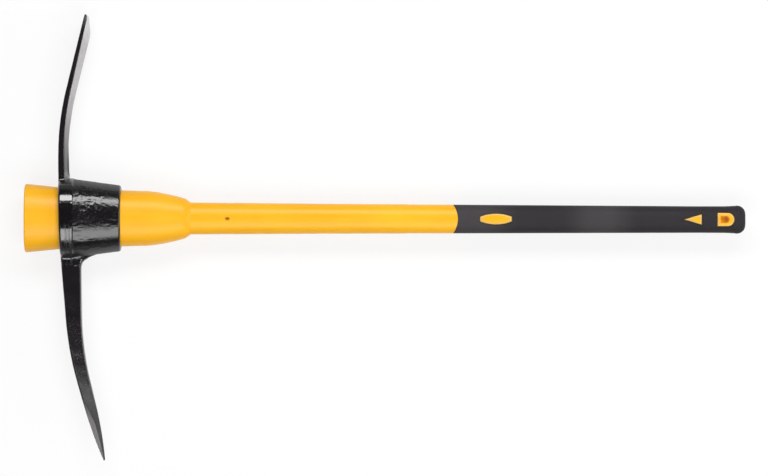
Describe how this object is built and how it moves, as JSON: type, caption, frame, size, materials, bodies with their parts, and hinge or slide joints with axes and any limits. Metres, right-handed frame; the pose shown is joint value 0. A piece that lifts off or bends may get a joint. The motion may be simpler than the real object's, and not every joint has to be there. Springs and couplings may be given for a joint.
{
  "type": "pick axe",
  "caption": "Long-handled pick axe: a black forged head with a chisel arm and a point arm, jammed on the taper of a yellow fibreglass handle with a black rubber grip.",
  "frame": {"origin": "middle of the flat crown end of the handle, on the handle's middle line", "axes": "+X runs along the handle from the crown to the butt, +Y along the chisel arm, -Y along the point arm, and +Z out of one broad face, up when the tool lies flat"},
  "size_m": [0.915, 0.5673, 0.073],
  "materials": {
    "black_paint": "satin",
    "fibreglass": "matt",
    "yoke_yellow": "satin",
    "shaft_yellow": "satin",
    "grip_rubber": "matt"
  },
  "bodies": {
    "handle": {"fibreglass_core": "fibreglass", "yoke_moulding": "yoke_yellow", "shaft_jacket": "shaft_yellow", "rubber_grip": "grip_rubber"},
    "head": {"pick_head": "black_paint"}
  },
  "joints": [
    {"name": "head_slide", "type": "slide", "parent": "handle", "child": "head", "axis": [1, 0, 0], "range_m": [0, 0.88]}
  ]
}
